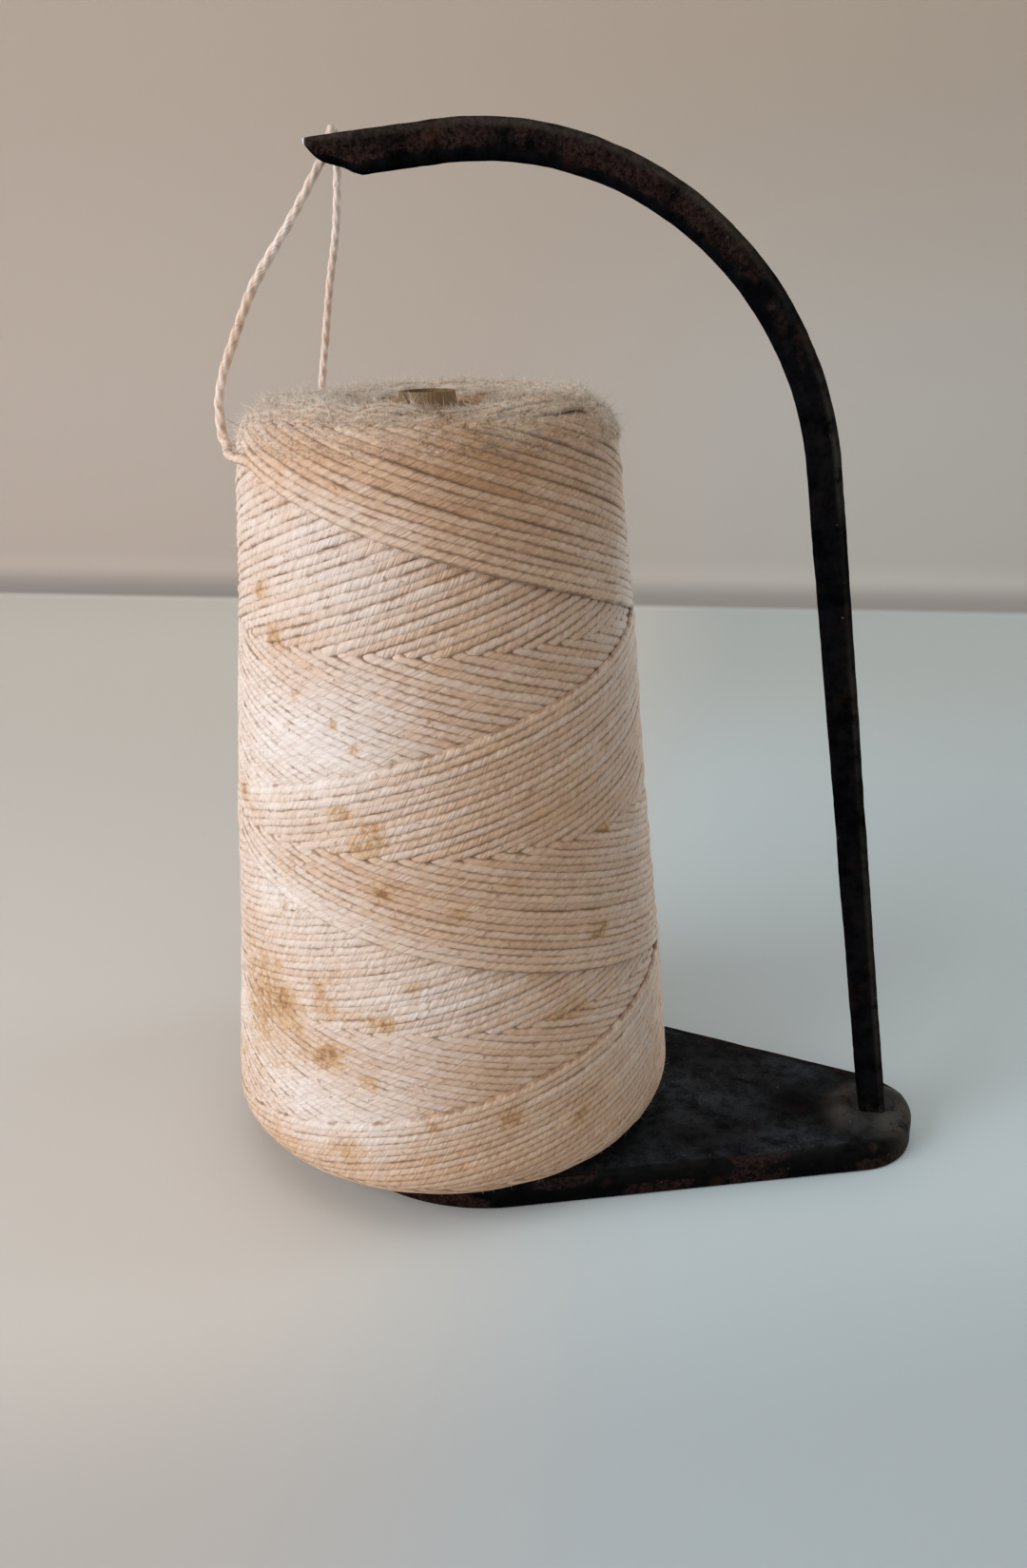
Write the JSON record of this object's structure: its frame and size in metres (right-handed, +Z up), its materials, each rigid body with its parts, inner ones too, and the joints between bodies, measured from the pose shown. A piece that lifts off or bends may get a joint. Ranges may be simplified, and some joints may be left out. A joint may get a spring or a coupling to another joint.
{
  "type": "string holder",
  "caption": "Counter string holder: a cast teardrop base with an arched iron arm, whose eye guides twine drawn from a wound cone that stands on a revolving spindle.",
  "frame": {"origin": "middle of the object's box on the underside of the base", "axes": "+X from the spindle towards the arm's foot, +Z up along the spindle"},
  "size_m": [0.2035, 0.131, 0.2775],
  "materials": {
    "base_iron": "worn black paint with rust at the edges",
    "arm_iron": "pitted black iron with brown rust",
    "spindle_steel": "turned and dull",
    "washer_steel": "dull",
    "core_paper": "brown rolled paper",
    "twine_inner": "cotton twine, dusty",
    "twine_outer": "cotton twine",
    "twine_free": "cotton twine"
  },
  "bodies": {
    "stand": {"base_plate": "base_iron", "arm": "arm_iron", "twine_run": "twine_free"},
    "spindle": {"spindle": "spindle_steel", "spindle_washer": "washer_steel"},
    "cone": {"paper_core": "core_paper", "twine_core": "twine_inner", "twine_wrap": "twine_outer"}
  },
  "joints": [
    {"name": "spindle_spin", "type": "hinge", "parent": "stand", "child": "spindle", "pos_m": [-0.03623, 0, 0], "axis": [0, 0, 1], "continuous": true},
    {"name": "cone_lift", "type": "slide", "parent": "spindle", "child": "cone", "axis": [0, 0, 1], "range_m": [0, 0.045], "deforming": ["twine_run"]}
  ]
}
